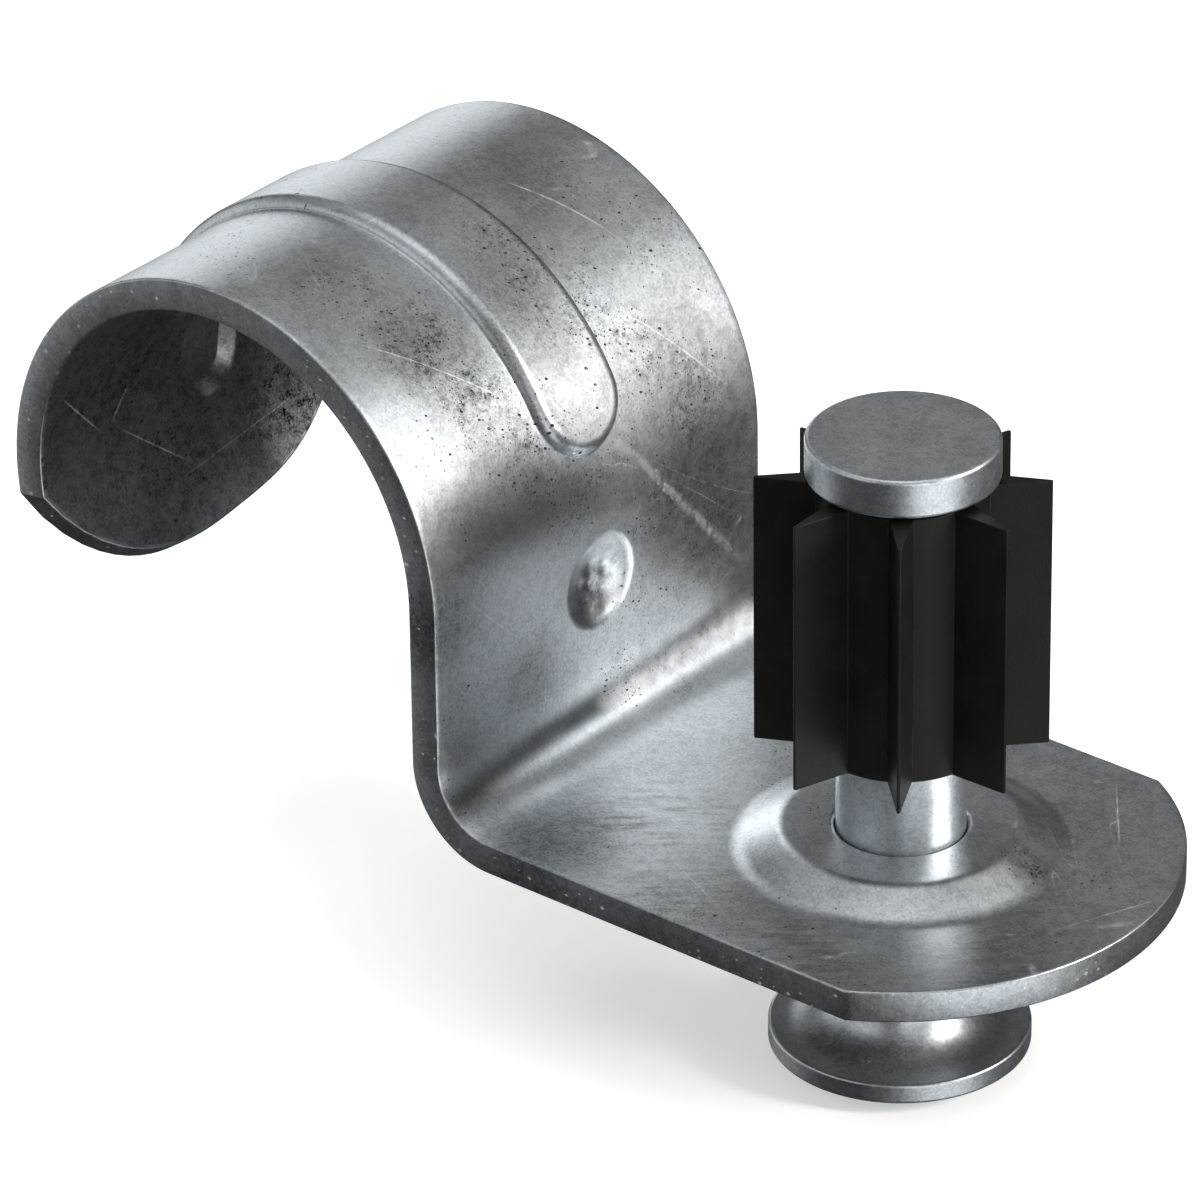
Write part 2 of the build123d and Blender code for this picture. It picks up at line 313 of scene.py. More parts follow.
def strapGrids():
    # The sheet's outside and then its inside, each in four panels: the hook with the rib or its recess,
    # the leg with the dimple, the bend, and the tab with the plateau. Last comes the cut edge. The dish
    # is a ball's cap, so its radius is (r * r + d * d) / 2 d for a rim of radius r and a depth d, and the
    # bulge behind it is a ball about the same centre.
    inset = z["edgeRound"]
    hook, leg, tab = hookBorder(inset), legBorder(), tabBorder(inset)
    dishR = (z["dimpleR"]**2 + z["dimpleDepth"]**2) / (2 * z["dimpleDepth"])
    bulgeR = dishR + z["dimpleWall"]
    bulgeDepth = bulgeR - (dishR - z["dimpleDepth"] + z["sheet"])
    ribEdge, recessEdge = z["ribWidth"] / 2, z["recessWidth"] / 2
    rib = softSlope(ribEdge + np.array(z["ribSlope"]), z["ribHeight"], *z["ribRounds"])
    recess = softSlope(recessEdge + np.array(z["recessSlope"]), z["recessDepth"], *z["recessRounds"])
    rise, hole, lip = z["plateauRise"], z["holeR"], z["holeLip"]
    innerRing, outerRing = z["flatRings"]
    plateauEdges = np.array([z["plateauTop"], z["plateauFoot"]]) + z["plateauSlope"]
    slope = softSlope(plateauEdges, rise, *z["plateauRounds"])[3:]   # without its points on the level
    plateau = np.vstack([[(hole, rise - z["sheet"])], arc((hole + lip, rise - lip), lip, 180, 90, 6),
                         [(hole + lip + z["besideLip"], rise), (innerRing, rise), (outerRing, rise)], slope])
    pocket = np.vstack([[(hole, rise), (innerRing, rise), (z["pocketTop"] - z["besideTop"], rise)],
                        softStep(z["pocketTop"], z["pocketMouth"], rise),
                        [(z["pocketMouth"] + z["besideMouth"], 0)]])
    grids = []
    for level, ridge, surfaceR, ball, ring, side in (
            (half, rib, outerR, (dishR, z["dimpleDepth"], z["dimpleLip"]), plateau, 0.0),
            (-half, recess, z["hookR"], (bulgeR, bulgeDepth, z["bulgeLip"]), pocket, -1.0)):
        along, across = hookRings(ridge[:, 0], surfaceR)
        grids.append(panel(along, across, ridge, hook, level, side))
        dimple = roundPanel(-z["dimpleDrop"], ballProfile(*ball), leg, level, side)
        dimple["points"][..., 0] += beaten(dimple["marks"]) * (side == 0.0)   # outside only
        grids.append(dimple)
        bend = np.linspace(lowSplit, bendSplit, steps["bend"] + 1)[:, None]
        grids.append(stripGrid(bend, (halfWidth - inset) * spread[None, :], level, side, closed=False))
        grids.append(roundPanel(alongOfX(z["pinX"]), ring, tab, level, side))
    # the sheet's edge: a small round, the flat cut and a small round, carried along the outline
    top = arc((inset, half - inset), inset, 90, 180, 5)
    drawnIn = np.concatenate([top[:, 0], top[::-1, 0]])
    height = np.concatenate([top[:, 1], -top[::-1, 1]])
    rows = [outline(i) for i in drawnIn]
    cut = stripGrid(np.array([r[0] for r in rows]), np.array([r[1] for r in rows]), height[:, None])
    cut["marks"][1:-1, :, 2] = 1.0
    return grids + [cut]


strap = makePiece("conduitStrap", strapGrids(), "strap", "conduit_strap")


def turned(profile, centreX, count=144):
    # a profile of radius and height, carried round the pin's axis
    turn = np.linspace(0, 2 * np.pi, count, endpoint=False)[None, :]
    radius, height = profile[:, :1], profile[:, 1:]
    points = np.stack(np.broadcast_arrays(centreX + radius * np.cos(turn), radius * np.sin(turn), height), -1)
    length = np.cumsum(np.hypot(*np.diff(profile, axis=0, prepend=profile[:1]).T))[:, None]
    marks = np.stack(np.broadcast_arrays(length, radius, np.zeros_like(turn)), -1)
    return {"points": points, "marks": marks, "closed": True}


pinSizes = {"headR": 4.0, "headThick": 1.7, "headRound": 0.16, "shankR": 2.0, "seatZ": 7.7,
            "length": 27.25, "pointLength": 6.0, "tipR": 0.15}


def pinOutline():
    # from the middle of the head's top out, down its rim, in to the shank and down to the point
    p = pinSizes
    head, shank, seat, soft = p["headR"], p["shankR"], p["seatZ"], p["headRound"]
    top, tip = seat + p["headThick"], seat - p["length"]
    return np.vstack([[(0, top), (head / 2, top)],
                      softCorner((head, top), (0, top), (head, -far), soft),
                      softCorner((head, seat), (head, far), (0, seat), soft),
                      [(shank, seat), (shank, tip + p["pointLength"]), (p["tipR"], tip), (0, tip)]])


pin = makePiece("drivePin", [turned(pinOutline(), z["pinX"])], "fastener", "drive_pin")

collarSizes = {"tubeR": 2.7, "boreR": 1.99, "flangeR": 5.5, "flangeThick": 0.9, "footZ": -18.9,
               "topZ": -4.7, "trumpetR": 2.1, "edgeRound": 0.12, "bevel": 0.1, "boreBevel": 0.15}


def collarOutline():
    # from the bore's top out, down the tube, out along the trumpet's quarter circle, round the flange's
    # rim and back up the bore
    c = collarSizes
    tube, bore, rim, curve, soft = c["tubeR"], c["boreR"], c["flangeR"], c["trumpetR"], c["edgeRound"]
    top, foot, bevel = c["topZ"], c["footZ"], c["bevel"]
    flangeTop = foot + c["flangeThick"]
    trumpet = arc((tube + curve, flangeTop + curve), curve, 180, 270, 20)
    return np.vstack([[(bore, top), (tube - bevel, top), (tube, top - bevel), (tube, trumpet[0, 1] + bevel)],
                      trumpet,
                      softCorner((rim, flangeTop), (0, flangeTop), (rim, -far), soft),
                      softCorner((rim, foot), (rim, far), (0, foot), soft),
                      [(bore + c["boreBevel"], foot), (bore, foot + bevel), (bore, top)]])


collar = makePiece("flangedCollar", [turned(collarOutline(), z["pinX"])],
                   "fastener", "flanged_collar")

sleeveSizes = {"coreR": 3.55, "boreR": 1.99, "finTipR": 6.05, "finRoot": 1.0, "finEdge": 0.12, "fins": 8,
               "turn": -8.7, "footZ": -4.7, "topZ": 7.45, "bevel": 0.035, "bevelFrom": 28, "bevelRows": 2}


def sleeveGrids():
    # One fin's outline is a wedge from its root on the core to its thin edge, then the core's arc to the
    # next fin; turned copies close the loop, which is carried straight up and closed to the bore.
    s = sleeveSizes
    rootX = np.sqrt(s["coreR"]**2 - (s["finRoot"] / 2)**2)
    share = np.linspace(0, 1, 6)[:-1, None]                 # five points up each side of a fin
    root, tip = np.array([rootX, s["finRoot"] / 2]), np.array([s["finTipR"], s["finEdge"] / 2])
    flip = np.array([1, -1])
    pitch = 360 / s["fins"]
    rootAngle = np.degrees(np.arcsin(s["finRoot"] / 2 / s["coreR"]))
    loop = np.vstack([root * flip + share * (tip - root) * flip, [tip * flip], tip + share * (root - tip),
                      arc((0, 0), s["coreR"], rootAngle, pitch - rootAngle, 9)[:-1]])
    turns = np.radians(s["turn"] + pitch * np.arange(s["fins"]))[:, None]
    x = (loop[None, :, 0] * np.cos(turns) - loop[None, :, 1] * np.sin(turns)).ravel()
    y = (loop[None, :, 0] * np.sin(turns) + loop[None, :, 1] * np.cos(turns)).ravel()
    ray = np.arctan2(y, x)
    boreX, boreY = s["boreR"] * np.cos(ray), s["boreR"] * np.sin(ray)
    rows = [(boreX, boreY, s["footZ"]), (x, y, s["footZ"])]
    rows += [(x, y, height) for height in np.linspace(s["footZ"], s["topZ"], 5)[1:]]
    rows += [(boreX, boreY, s["topZ"]), (boreX, boreY, s["footZ"])]
    points = np.array([np.stack([z["pinX"] + a, b, np.full(len(a), c)], -1) for a, b, c in rows])
    return [{"points": points, "marks": np.zeros_like(points), "closed": True}]


sleeve = makePiece("flutedSleeve", sleeveGrids(), "fastener", "fluted_sleeve", 25)
softened = sleeve.modifiers.new("softEdges", "BEVEL")
softened.width, softened.segments = sleeveSizes["bevel"] * mm, sleeveSizes["bevelRows"]
softened.limit_method, softened.angle_limit = "ANGLE", np.radians(sleeveSizes["bevelFrom"])


class Wire:
    # a socket of a node tree, with + - * / and ** that add Math nodes
    def __init__(self, tree, socket):
        self.tree, self.socket = tree, socket

    def math(self, operation, *others):
        return mathNode(self.tree, operation, self, *others)

    def other(self, name):
        return Wire(self.tree, self.socket.node.outputs[name])

    def __add__(self, other): return self.math("ADD", other)
    def __radd__(self, other): return self.math("ADD", other)
    def __sub__(self, other): return self.math("SUBTRACT", other)
    def __rsub__(self, other): return mathNode(self.tree, "SUBTRACT", other, self)
    def __mul__(self, other): return self.math("MULTIPLY", other)
    def __rmul__(self, other): return self.math("MULTIPLY", other)
    def __truediv__(self, other): return self.math("DIVIDE", other)
    def __rtruediv__(self, other): return mathNode(self.tree, "DIVIDE", other, self)
    def __pow__(self, other): return self.math("POWER", other)


def mathNode(tree, operation, *values):
    return addNode(tree, "ShaderNodeMath", {"operation": operation}, dict(enumerate(values)))


def addNode(tree, kind, settings=None, values=None, out=0):
    # one node: its settings first, then the values or links of its sockets, by name or number
    node = tree.nodes.new(kind)
    for key, value in (settings or {}).items():
        setattr(node, key, value)
    for key, value in (values or {}).items():
        if isinstance(value, Wire):
            tree.links.new(value.socket, node.inputs[key])
        else:
            node.inputs[key].default_value = value
    return Wire(tree, node.outputs[out]) if node.outputs else node


def vectorNode(tree, operation, first, second, out=0):
    return addNode(tree, "ShaderNodeVectorMath", {"operation": operation}, {0: first, 1: second}, out)


def smooth(value, low, high, toLow=0.0, toHigh=1.0):
    # a soft step of a value, from toLow at low to toHigh at high
    if low > high:
        low, high, toLow, toHigh = high, low, toHigh, toLow
    return addNode(value.tree, "ShaderNodeMapRange", {"interpolation_type": "SMOOTHSTEP"},
                   {0: value, 1: low, 2: high, 3: toLow, 4: toHigh})


def strongest(values):
    # the greatest of several wires
    top = values[0]
    for value in values[1:]:
        top = top.math("MAXIMUM", value)
    return top


def mixColour(tree, share, first, second, blend="MIX"):
    # colours are mixed on sockets 6 and 7 of a Mix node, and come out on 2
    asColour = lambda c: c if isinstance(c, Wire) else (*c, 1)
    return addNode(tree, "ShaderNodeMix", {"data_type": "RGBA", "blend_type": blend},
                   {0: share, 6: asColour(first), 7: asColour(second)}, out=2)


def newMaterial(name):
    material = bpy.data.materials.new(name)
    material.use_nodes = True
    material.node_tree.nodes.clear()
    return material, material.node_tree


def place(tree, scale=(1, 1, 1), turn=(0, 0, 0), source="Object"):
    # the piece's own coordinates in millimetres, or its marks, turned and then stretched for a pattern
    if source == "marks":
        at, unit = addNode(tree, "ShaderNodeAttribute", {"attribute_name": "marks"}, out=1), 1.0
    else:
        at, unit = addNode(tree, "ShaderNodeTexCoord", out=3), mm
    return addNode(tree, "ShaderNodeMapping", {"vector_type": "TEXTURE"}, {
        0: at, 2: tuple(np.radians(turn)), 3: tuple(unit / s for s in scale)})


def noise(tree, where, scale, detail, roughness=0.55):
    return addNode(tree, "ShaderNodeTexNoise", {}, {
        "Vector": where, "Scale": scale, "Detail": detail, "Roughness": roughness})


def specks(tree, where, cell, size, shown, dimensions="3D"):
    # round dots, one to a cell of a Voronoi pattern, most of them small, and only in the share of cells
    # that is shown; a dot's edge is soft over a quarter of its radius
    reach = addNode(tree, "ShaderNodeTexVoronoi", {"voronoi_dimensions": dimensions},
                    {"Vector": where, "Scale": 1 / cell})
    pick = addNode(tree, "ShaderNodeSeparateColor", {}, {0: reach.other("Color")})
    radius = (0.35 + pick.other("Green") ** 2.0 * 0.65) * (size / cell)
    return smooth(reach / radius, 1.0, 0.75) * smooth(shown - pick, 0.0, 0.02)


def scratches(tree, where, f):
    # thin broken lines: the crests of a noise that is drawn out along one direction, where a broader
    # noise shows them
    crest = (noise(tree, where, *f["scratchNoise"]) - 0.5).math("ABSOLUTE")
    shown = smooth(noise(tree, where, *f["scratchPatch"]), *f["scratchEdge"])
    return smooth(crest, f["scratchWide"], 0.0) * shown


def stroke(tree, flat, start, end, wide):
    # a straight scratch between two places of the sheet, thin across its line and faded at both ends
    start, end = np.array(start, float), np.array(end, float)
    length = float(np.linalg.norm(end - start))
    fade = length / 3
    ahead = (end - start) / length
    beside = np.array([-ahead[1], ahead[0]])
    along, across = (vectorNode(tree, "DOT_PRODUCT", flat, (*way, 0.0), out=1) - float(start @ way)
                     for way in (ahead, beside))
    line = smooth(across.math("ABSOLUTE"), wide, wide * 0.1)
    return line * smooth(along, 0.0, fade) * smooth(along, length, length - fade)


def patches(tree, flat, spots):
    # the strongest of several round patches about places of the sheet: along, across, reach and strength
    shown = []
    for along, across, reach, strength in spots:
        away = vectorNode(tree, "DISTANCE", flat, (along, across, 0.0), out=1)
        shown.append(smooth(away, reach, reach * 0.15, 0.0, strength))
    return strongest(shown)


# What the three steel pieces share. A noise is scale per millimetre, detail and roughness; an edge is
# where it starts and where it is full; dots are the cell and the largest radius in millimetres.
zinc = {
    "cloudNoise": (0.3, 3.0, 0.65), "cloudEdge": (0.60, 0.36),
    "mottleNoise": (2.0, 3.0, 0.75), "mottleEdge": (0.56, 0.40),
    "grainNoise": (8.0, 1.0, 0.7), "grain": 0.5, "cutDark": 0.12,
    "speckNoise": (0.16, 2.0), "speckEdge": (0.5, 0.75), "dots": [(0.3, 0.07), (0.14, 0.036)],
    "dotDark": 0.97, "dotDull": 0.9, "dotRough": 0.3,
    "scratchNoise": (1.2, 0.0), "scratchWide": 0.008, "scratchFaint": 0.6,
    "scratchWays": [(35, 0.05), (-50, 0.06)],                                 # turn in degrees and stretch
    "scratchPatch": (0.5, 0.0), "scratchEdge": (0.50, 0.60), "scratchBreaks": (0.35, 0.6, 0.45, 1.0),
    "scratch": 0.6, "scratchDull": 0.3, "scratchColour": (0.9, 0.93, 0.96),
    "bareDots": (0.45, 0.09), "bareTurn": (90, 0, 45), "bareShare": 0.35,     # bright flecks on the cut edge
    "rough": 0.395, "roughCloud": 0.1, "roughMottle": 0.1,
    "bump": 0.2, "bumpReach": 0.00003, "bumpMottle": 0.5, "bumpGrain": 0.35,
}
strapFinish = dict(zinc, colour=(0.665, 0.695, 0.72), cloud=0.1, mottle=0.12, speckShare=0.3)
pinFinish = dict(zinc, colour=(0.72, 0.755, 0.78), cloud=0.08, mottle=0.1, speckShare=0.1)
collarFinish = dict(zinc, colour=(0.64, 0.675, 0.70), cloud=0.08, mottle=0.1, speckShare=0.1)

# What use has left on the strap, and the painted shade and painted highlights put on it, by place on the flat
# sheet in millimetres. Its dots are stretch, turn in degrees, cell and largest radius.
strapWearAndShade = {
    # the first value darkens the whole inside of the fold: painted shade
    "insidePaintedShade": 0.26, "dots": [((1, 0.68, 1), 25, 0.3, 0.075), ((1, 0.75, 1), -40, 0.16, 0.042)],
    # patches: along the sheet, across it, reach and strength
    "grime": [(14.0, -6.5, 3.0, 0.6), (10.5, -6.0, 3.4, 0.85), (7.0, -5.0, 3.4, 0.85), (4.5, -3.2, 3.2, 0.85),
              (11.5, 1.2, 3.2, 0.75), (8.5, 2.6, 3.6, 0.8), (5.6, 4.6, 3.8, 0.8), (2.5, 6.6, 3.6, 0.8),
              (2.0, -1.0, 3.0, 0.85), (-0.8, 3.6, 3.0, 0.7), (-3.6, 7.4, 2.8, 0.6), (-8.0, 1.5, 2.4, 0.6),
              (-31.2, 1.0, 1.5, 1.0), (-33.5, 2.5, 1.8, 0.5), (9.0, 9.0, 3.4, 0.4)],
    "grimeInside": [(31.0, -5.0, 4.5, 0.3), (36.5, -3.0, 4.5, 0.35), (36.0, 4.0, 5.0, 0.15)],
    "grimeNoise": (0.6, 3.0, 0.7), "grimeEdge": (0.3, 0.68),
    # the stain's share over the whole inside of the fold is painted shade, mottled by the stain noise
    "stain": 0.78, "stainGrime": 0.8, "insideStainShade": 0.25,
    "stainNoise": (1.5, 4.0, 0.9), "stainEdge": (0.46, 0.60),
    # patches partly of duller zinc, partly of painted shade, as on the left of the leg and of the tab
    "dullAndShade": [(9.0, -5.6, 4.2, 0.36), (8.8, -0.6, 3.2, 0.4), (5.5, -5.2, 3.2, 0.22), (-1.6, 6.8, 4.8, 0.34),
             (5.0, 6.5, 3.0, 0.18), (-0.5, -10.2, 3.2, 0.42), (-5.2, -4.8, 2.8, 0.36), (14.6, 5.5, 4.6, 0.2),
             (-31.2, 1.2, 1.7, 0.3), (-14.5, -8.6, 4.6, 0.42), (-22.0, -9.0, 5.5, 0.2)],
    # patches of painted shade inside the fold near its free end
    "insideShadePatches": [(38.0, 6.0, 5.5, 0.35)],
    # patches of painted highlight inside the fold, where the recess's end shows
    "insidePaintedHighlight": [(32.2, 0.0, 2.2, 0.28), (29.5, 0.0, 2.2, 0.28)],
    # the dimple's patch carries its small dents and also darkens the dimple: painted shade
    "dents": [(-3.2, -0.1, 1.7, 1.0)], "dimplePaintedShade": 0.55, "dentNoise": (1.25, 1.0, 0.5), "dentReach": 0.00008,
    # marks of rubbing, drawn out along one direction, in their own patches
    "rubbed": 0.34, "rubPlace": ((0.42, 2.3, 1.0), (0, 0, 140)), "rubNoise": (1.0, 2.0, 0.6),
    "rubEdge": (0.36, 0.6), "rubMean": 0.6,
    "rubSpots": [(-16.5, -4.5, 4.6, 1.0), (-20.5, -9.0, 4.0, 0.7), (-27.5, -9.6, 4.8, 1.0),
                 (-34.0, -6.0, 4.0, 0.5)],
    # the painted highlight on the bend's outside, which is also smoother there: where it starts and ends
    # along, and how it fades across where the sleeve's shadow falls
    "bendPaintedHighlight": 0.42, "bendSmooth": 0.1, "bendFrom": (-6.2, -8.0), "bendTo": (-12.6, -10.6),
    "bendSleeveShadow": (-5.0, -1.0, 0.2, 1.0),
    # single scratches: start, end, half width and strength
    "strokes": [((4.4, 0.4), (-6.6, 10.2), 0.34, 0.62), ((15.5, 4.5), (9.5, 7.2), 0.06, 1.1),
                ((12.5, -9.5), (6.0, -2.8), 0.05, 1.1), ((-33.0, 5.0), (-29.5, 9.5), 0.05, 1.1),
                ((-34.5, -2.0), (-36.8, 3.5), 0.045, 1.0), ((-18.0, -6.5), (-23.5, -9.0), 0.05, 1.0),
                ((0.5, -9.0), (-3.5, -5.0), 0.05, 1.0), ((8.0, 4.2), (2.0, 9.5), 0.05, 1.1)],
    "strokesInside": [((38.5, -4.4), (37.3, 5.8), 0.06, 1.0), ((32.2, -5.1), (34.2, -6.3), 0.06, 1.2),
                      ((30.8, -9.8), (34.3, -6.7), 0.06, 1.3), ((34.1, -6.1), (38.0, -1.6), 0.06, 1.2)],
}


def wornAndShadedStrap(tree, at, marks, inside, cut, shade, shown):
    # gives the strap's shade with its wear, its painted shade and its painted highlights, its dots, its
    # single scratches, the mask of the painted highlight on its bend and its dents
    w, outside = strapWearAndShade, 1.0 - inside
    flat = vectorNode(tree, "MULTIPLY", marks, (1, 1, 0))
    grime = strongest([patches(tree, flat, w[key]) * face
                       for key, face in (("grime", outside), ("grimeInside", inside))])
    grime = grime * smooth(noise(tree, at, *w["grimeNoise"]), *w["grimeEdge"])
    stain = smooth(noise(tree, at, *w["stainNoise"]), *w["stainEdge"])
    # the dimple's patch: the height of its dents, and painted shade there
    dents = patches(tree, flat, w["dents"])
    # painted shade over the whole inside of the fold
    shade = shade - inside * w["insidePaintedShade"]
    # stains where there is grime, and mottled painted shade over the whole inside
    shade = shade - (grime * w["stainGrime"] + inside * w["insideStainShade"]) * stain * w["stain"]
    # painted shade in the dimple, and patches that are partly dull zinc and partly painted shade
    shade = shade - dents * w["dimplePaintedShade"] - patches(tree, flat, w["dullAndShade"]) * outside
    # painted highlights and painted shade inside the fold
    shade = shade + (patches(tree, flat, w["insidePaintedHighlight"]) - patches(tree, flat, w["insideShadePatches"])) * inside
    rubbed = smooth(noise(tree, place(tree, *w["rubPlace"], "marks"), *w["rubNoise"]), *w["rubEdge"])
    rubbed = (rubbed - w["rubMean"]) * patches(tree, flat, w["rubSpots"]) * (1.0 - cut)
    along = addNode(tree, "ShaderNodeSeparateXYZ", {}, {0: marks})
    # a painted highlight across the bend's outside, faded on the side where the sleeve's shadow falls
    bend = smooth(along, *w["bendFrom"]) * smooth(along, *w["bendTo"]) * outside
    bend = bend * smooth(along.other("Y"), *w["bendSleeveShadow"])
    shade = shade + rubbed * w["rubbed"] + bend * w["bendPaintedHighlight"]
    onFace = (1.0 - cut) * shown.math("MAXIMUM", grime)
    dots = [specks(tree, place(tree, scale, (0, 0, turn), "marks"), cell, size, onFace, "2D")
            for scale, turn, cell, size in w["dots"]]
    strokes = [stroke(tree, flat, start, end, wide) * face * strength
               for face, key in ((outside, "strokes"), (inside, "strokesInside"))
               for start, end, wide, strength in w[key]]
    return shade, dots, strokes, bend, dents * outside * noise(tree, at, *w["dentNoise"])


def metalMaterial(name, f, wornAndShaded=False):
    material, tree = newMaterial(name)
    at = place(tree)
    marks = addNode(tree, "ShaderNodeAttribute", {"attribute_name": "marks"}, out=1)
    side = addNode(tree, "ShaderNodeSeparateXYZ", {}, {0: marks}).other("Z")
    inside, cut = smooth(side, -0.4, -0.8), smooth(side, 0.4, 0.8)      # of the fold: -1 and 1
    cloud, mottle, grain = (noise(tree, at, *f[key]) for key in ("cloudNoise", "mottleNoise", "grainNoise"))
    shade = 1.0 - smooth(cloud, *f["cloudEdge"]) * f["cloud"]
    shade = shade - smooth(mottle, *f["mottleEdge"]) * f["mottle"]
    shade = shade + (grain - 0.5) * f["grain"] - cut * f["cutDark"]
    shown = smooth(noise(tree, at, *f["speckNoise"]), *f["speckEdge"]) * f["speckShare"]
    if wornAndShaded:
        shade, dots, strokes, bend, dents = wornAndShadedStrap(tree, at, marks, inside, cut, shade, shown)
    else:
        dots, strokes = [specks(tree, at, cell, size, shown) for cell, size in f["dots"]], []
    lines = [scratches(tree, place(tree, (1, stretch, 1), (0, 0, turn), "marks" if wornAndShaded else "Object"), f)
             * (f["scratchFaint"] - cut * f["scratchFaint"]) for turn, stretch in f["scratchWays"]]
    bare = specks(tree, place(tree, turn=f["bareTurn"]), *f["bareDots"], cut * f["bareShare"], "2D")
    lines = strongest(lines + strokes + [bare]).math("MINIMUM", 1.0) * smooth(mottle, *f["scratchBreaks"])
    dirt = strongest(dots) * (1.0 - lines)
    level = (shade * (1.0 - dirt * f["dotDark"])).math("MAXIMUM", 0.0)
    grey = addNode(tree, "ShaderNodeCombineXYZ", {}, {0: level, 1: level, 2: level})
    colour = mixColour(tree, 1.0, f["colour"], grey, "MULTIPLY")
    colour = mixColour(tree, lines * f["scratch"], colour, f["scratchColour"])
    rough = f["rough"] + (cloud - 0.5) * f["roughCloud"] + (mottle - 0.5) * f["roughMottle"]
    rough = rough + dirt * f["dotRough"]
    height = mottle * f["bumpMottle"] + grain * f["bumpGrain"]
    bump = addNode(tree, "ShaderNodeBump", {}, {
        "Strength": f["bump"], "Distance": f["bumpReach"], "Height": height})
    if wornAndShaded:
        rough = rough - bend * strapWearAndShade["bendSmooth"]
        bump = addNode(tree, "ShaderNodeBump", {}, {
            "Strength": 1.0, "Distance": strapWearAndShade["dentReach"], "Height": dents, "Normal": bump})
    metallic = 1.0 - dirt * f["dotDull"] - lines * f["scratchDull"]
    shader = addNode(tree, "ShaderNodeBsdfPrincipled", {}, {
        "Base Color": colour, "Metallic": metallic, "Roughness": rough, "Normal": bump})
    addNode(tree, "ShaderNodeOutputMaterial", {}, {0: shader})
    return material


pin.data.materials.append(metalMaterial("zincPin", pinFinish))
collar.data.materials.append(metalMaterial("zincCollar", collarFinish))
strap.data.materials.append(metalMaterial("zincStrap", strapFinish, wornAndShaded=True))

sleeveFinish = {
    "dark": (0.0052, 0.0051, 0.0042), "light": (0.0085, 0.0083, 0.0066), "rough": 0.5, "roughCloud": 0.15,
    "cloudNoise": (0.5, 4.0), "cloudEdge": (0.35, 0.7), "grainNoise": (9.0, 2.0), "bump": 0.25,
    "bumpReach": 0.00003, "shine": 0.25,
}


def plasticMaterial(name, f):
    material, tree = newMaterial(name)
    at = place(tree)
    cloud, grain = noise(tree, at, *f["cloudNoise"]), noise(tree, at, *f["grainNoise"])
    colour = mixColour(tree, smooth(cloud, *f["cloudEdge"]), f["dark"], f["light"])
    bump = addNode(tree, "ShaderNodeBump", {}, {
        "Strength": f["bump"], "Distance": f["bumpReach"], "Height": grain})
    shader = addNode(tree, "ShaderNodeBsdfPrincipled", {}, {
        "Base Color": colour, "Roughness": f["rough"] + (cloud - 0.5) * f["roughCloud"], "Normal": bump,
        "Specular IOR Level": f["shine"]})
    addNode(tree, "ShaderNodeOutputMaterial", {}, {0: shader})
    return material


sleeve.data.materials.append(plasticMaterial("blackSleeve", sleeveFinish))
print("finishes made")

studio = {
    "floorZ": -19.55, "floorHalf": 1.5, "floorColour": (0.9, 0.9, 0.9), "floorGlow": 0.42, "fillLight": 0.55,
    "tentR": 0.6, "tentColour": (0.97, 1.0, 1.02),
    "ground": 0.03, "ceiling": 0.85, "ceilingEdge": (27.0, 86.0),      # strengths, and degrees of elevation
    # soft boxes: azimuth, elevation, half width, half height, soft edge, all in degrees, and strength
    "softBoxes": {
        "second": (41.0, 38.0, 6.0, 6.0, 4.0, 7.5),
        "rightLow": (-12.6, -16.9, 25.6, 17.8, 8.0, 1.6),
        "rightSide": (-37.5, 11.5, 10.0, 25.0, 7.9, 1.2),
        "leftNear": (139.0, 8.0, 6.0, 18.8, 6.0, 1.8),
        "leftFar": (194.0, -3.0, 26.0, 27.0, 9.7, 0.75),
        "overhead": (0.0, 90.0, 200.0, 18.0, 8.0, 0.55),
        "front": (-104.6, 20.0, 27.8, 16.0, 8.5, 0.85),
    },
    # soft lamps: azimuth and elevation in degrees, distance, width and height in metres, power in watts,
    # and whether the metal mirrors it
    "lamps": {
        "keyLamp": (20.3, 24.0, 0.5, 0.085, 0.16, 1.95, True),
        "leftBox": (165, 35, 0.5, 0.3, 0.3, 0.5, False),
        "topBox": (-90, 75, 0.6, 0.5, 0.5, 1.4, False),
    },
    "lampColour": (1.0, 0.975, 0.945), "lampAim": (0.012, 0, -0.005),
}


def softBoxes(tree, azimuth, elevation):
    # the tent's strength by direction: a bright ceiling over a dark ground, and boxes with soft edges
    light = smooth(elevation, *studio["ceilingEdge"], studio["ground"], studio["ceiling"])
    for across, up, halfWide, halfHigh, soft, strength in studio["softBoxes"].values():
        aside = (azimuth - across).math("WRAP", 180.0, -180.0).math("ABSOLUTE")
        above = (elevation - up).math("ABSOLUTE")
        box = smooth(aside, halfWide + soft, halfWide - soft)
        box = box * smooth(above, halfHigh + soft, halfHigh - soft)
        light = light + box * strength
    return light


